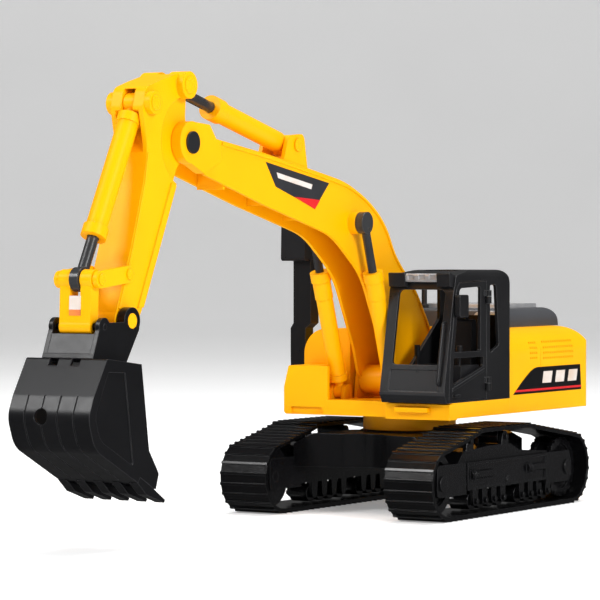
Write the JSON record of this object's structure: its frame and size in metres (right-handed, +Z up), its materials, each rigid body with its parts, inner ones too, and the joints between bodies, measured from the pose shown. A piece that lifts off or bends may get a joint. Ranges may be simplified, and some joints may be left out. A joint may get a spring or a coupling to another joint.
{
  "type": "toy excavator",
  "caption": "Tracked toy excavator whose upper body turns on its undercarriage; boom, stick and bucket swing with sliding cylinders, the cab door opens and a lever lifts the boom.",
  "frame": {"origin": "on the ground, under the middle of the machine's overall length and width; the slewing axis stands 110 mm behind it", "axes": "+Z up, -Y towards the bucket at the machine's front, +X towards the machine's left, the cab side"},
  "size_m": [0.1413, 0.4761, 0.2463],
  "materials": {
    "yellow_plastic": "satin gloss moulded ABS",
    "charcoal_plastic": "satin moulded ABS",
    "track_rubber": "soft glossy vinyl",
    "hood_grey": "fine matt",
    "silver_plastic": "silver lacquered plastic",
    "black_plastic": "gloss moulded plastic",
    "rod_grey": "polished dark plastic",
    "screw_steel": "zinc plated",
    "seat_black": "matt"
  },
  "bodies": {
    "undercarriage": {"car_body": "black_plastic", "car_body_screws": "screw_steel", "track_frame_left": "black_plastic", "track_frame_right": "black_plastic", "side_plate_left": "black_plastic", "side_plate_right": "black_plastic", "track_belt_left": "track_rubber", "track_belt_right": "track_rubber", "bottom_rollers_left": "black_plastic", "bottom_rollers_right": "black_plastic", "carrier_rollers_left": "black_plastic", "carrier_rollers_right": "black_plastic", "wheel_axles": "black_plastic", "slew_washer": "screw_steel", "slew_screw": "screw_steel"},
    "idler_left": {"idler_wheel_left": "black_plastic"},
    "idler_right": {"idler_wheel_right": "black_plastic"},
    "drive_left": {"drive_wheel_left": "black_plastic"},
    "drive_right": {"drive_wheel_right": "black_plastic"},
    "upper_body": {"deck": "yellow_plastic", "slew_ring": "yellow_plastic", "side_box": "yellow_plastic", "engine_cover": "yellow_plastic", "engine_hood": "hood_grey", "hood_grille": "silver_plastic", "hood_trim": "silver_plastic", "exhaust_pipe": "black_plastic", "boom_cylinder_pins": "yellow_plastic", "cab_shell": "charcoal_plastic", "door_hinge_pins": "screw_steel", "roof_lamps": "black_plastic", "light_bar": "silver_plastic", "driver_seat": "seat_black", "joysticks": "seat_black"},
    "door": {"cab_door": "charcoal_plastic", "side_mirror": "charcoal_plastic"},
    "boom": {"boom": "yellow_plastic", "boom_foot_shaft": "rod_grey", "hand_lever": "charcoal_plastic", "lever_grip": "black_plastic", "boom_head_pin": "black_plastic", "arm_cylinder_pin": "yellow_plastic"},
    "boom_tube_left": {"boom_cylinder_left": "yellow_plastic"},
    "boom_tube_right": {"boom_cylinder_right": "yellow_plastic"},
    "boom_piston_left": {"boom_rod_left": "rod_grey"},
    "boom_piston_right": {"boom_rod_right": "rod_grey"},
    "stick": {"stick": "yellow_plastic", "stick_pins": "yellow_plastic", "bucket_pivot_pin": "yellow_plastic"},
    "arm_piston": {"arm_rod": "rod_grey"},
    "arm_tube": {"arm_cylinder": "yellow_plastic"},
    "bucket_tube": {"bucket_cylinder": "yellow_plastic"},
    "bucket_piston": {"bucket_rod": "rod_grey"},
    "links": {"side_links": "yellow_plastic", "link_pin": "yellow_plastic"},
    "h_link": {"h_link": "yellow_plastic"},
    "bucket": {"bucket_shell": "charcoal_plastic", "bucket_teeth": "charcoal_plastic", "bucket_coupler": "charcoal_plastic", "coupler_pin": "charcoal_plastic"}
  },
  "joints": [
    {"name": "slew", "type": "hinge", "parent": "undercarriage", "child": "upper_body", "pos_m": [0, 0.11, 0.0467], "axis": [0, 0, 1], "continuous": true},
    {"name": "door_swing", "type": "hinge", "parent": "upper_body", "child": "door", "pos_m": [0.0571, 0.1016, 0.1], "axis": [0, 0, 1], "range_deg": [0, 80]},
    {"name": "drive_wheel_left_turn", "type": "hinge", "parent": "undercarriage", "child": "drive_left", "pos_m": [0.0545, 0.187, 0.0218], "axis": [1, 0, 0], "continuous": true},
    {"name": "idler_wheel_left_turn", "type": "hinge", "parent": "undercarriage", "child": "idler_left", "pos_m": [0.0545, 0.032, 0.0212], "axis": [1, 0, 0], "continuous": true},
    {"name": "drive_wheel_right_turn", "type": "hinge", "parent": "undercarriage", "child": "drive_right", "pos_m": [-0.0545, 0.187, 0.0218], "axis": [1, 0, 0], "continuous": true},
    {"name": "idler_wheel_right_turn", "type": "hinge", "parent": "undercarriage", "child": "idler_right", "pos_m": [-0.0545, 0.032, 0.0212], "axis": [1, 0, 0], "continuous": true},
    {"name": "boom_lift", "type": "hinge", "parent": "upper_body", "child": "boom", "pos_m": [-0.01, 0.0935, 0.0765], "axis": [-1, 0, 0], "range_deg": [-10, 12]},
    {"name": "boom_cylinder_left_tilt", "type": "hinge", "parent": "upper_body", "child": "boom_tube_left", "pos_m": [0.0078, 0.0768, 0.0695], "axis": [-1, 0, 0], "range_deg": [-10.3, 12.2]},
    {"name": "boom_rod_left_slide", "type": "slide", "parent": "boom_tube_left", "child": "boom_piston_left", "axis": [0, -0.3217, 0.9468], "range_m": [-0.0032, 0.0038]},
    {"name": "boom_cylinder_right_tilt", "type": "hinge", "parent": "upper_body", "child": "boom_tube_right", "pos_m": [-0.0278, 0.0768, 0.0695], "axis": [-1, 0, 0], "range_deg": [-10.3, 12.2]},
    {"name": "boom_rod_right_slide", "type": "slide", "parent": "boom_tube_right", "child": "boom_piston_right", "axis": [0, -0.3217, 0.9468], "range_m": [-0.0032, 0.0038]},
    {"name": "stick_swing", "type": "hinge", "parent": "boom", "child": "stick", "pos_m": [-0.01, -0.1283, 0.2091], "axis": [1, 0, 0], "range_deg": [-15, 24]},
    {"name": "arm_rod_tilt", "type": "hinge", "parent": "stick", "child": "arm_piston", "pos_m": [-0.01, -0.1313, 0.2391], "axis": [1, 0, 0], "range_deg": [-21.7, 13.5]},
    {"name": "arm_cylinder_slide", "type": "slide", "parent": "arm_piston", "child": "arm_tube", "axis": [0, 0.9718, -0.2358], "range_m": [-0.0071, 0.0113]},
    {"name": "bucket_curl", "type": "hinge", "parent": "stick", "child": "bucket", "pos_m": [-0.01, -0.187, 0.1165], "axis": [1, 0, 0], "range_deg": [-25, 30]},
    {"name": "bucket_cylinder_tilt", "type": "hinge", "parent": "stick", "child": "bucket_tube", "pos_m": [-0.01, -0.1625, 0.2286], "axis": [1, 0, 0], "range_deg": [-3.5, 4.2]},
    {"name": "bucket_rod_slide", "type": "slide", "parent": "bucket_tube", "child": "bucket_piston", "axis": [0, -0.4669, -0.8843], "range_m": [-0.0087, 0.0104]},
    {"name": "side_link_turn", "type": "hinge", "parent": "stick", "child": "links", "pos_m": [-0.01, -0.186, 0.1402], "axis": [1, 0, 0], "range_deg": [-25.1, 30.1]},
    {"name": "h_link_turn", "type": "hinge", "parent": "links", "child": "h_link", "pos_m": [-0.01, -0.2105, 0.1377], "axis": [1, 0, 0], "range_deg": [-30.1, 25.1]}
  ],
  "couplings": [
    {"joint": "idler_wheel_left_turn", "follows": "drive_wheel_left_turn", "ratio": 1.0345},
    {"joint": "idler_wheel_right_turn", "follows": "drive_wheel_right_turn", "ratio": 1.0345},
    {"joint": "boom_cylinder_left_tilt", "follows": "boom_lift", "ratio": 1.0078},
    {"joint": "boom_rod_left_slide", "follows": "boom_lift", "m_per_rad": 0.01777},
    {"joint": "boom_cylinder_right_tilt", "follows": "boom_lift", "ratio": 1.0078},
    {"joint": "boom_rod_right_slide", "follows": "boom_lift", "m_per_rad": 0.01777},
    {"joint": "arm_rod_tilt", "follows": "stick_swing", "ratio": -0.8936},
    {"joint": "arm_cylinder_slide", "follows": "stick_swing", "m_per_rad": 0.026705},
    {"joint": "bucket_cylinder_tilt", "follows": "bucket_curl", "ratio": 0.137},
    {"joint": "bucket_rod_slide", "follows": "bucket_curl", "m_per_rad": 0.01963},
    {"joint": "side_link_turn", "follows": "bucket_curl", "ratio": 1},
    {"joint": "h_link_turn", "follows": "bucket_curl", "ratio": -1}
  ]
}
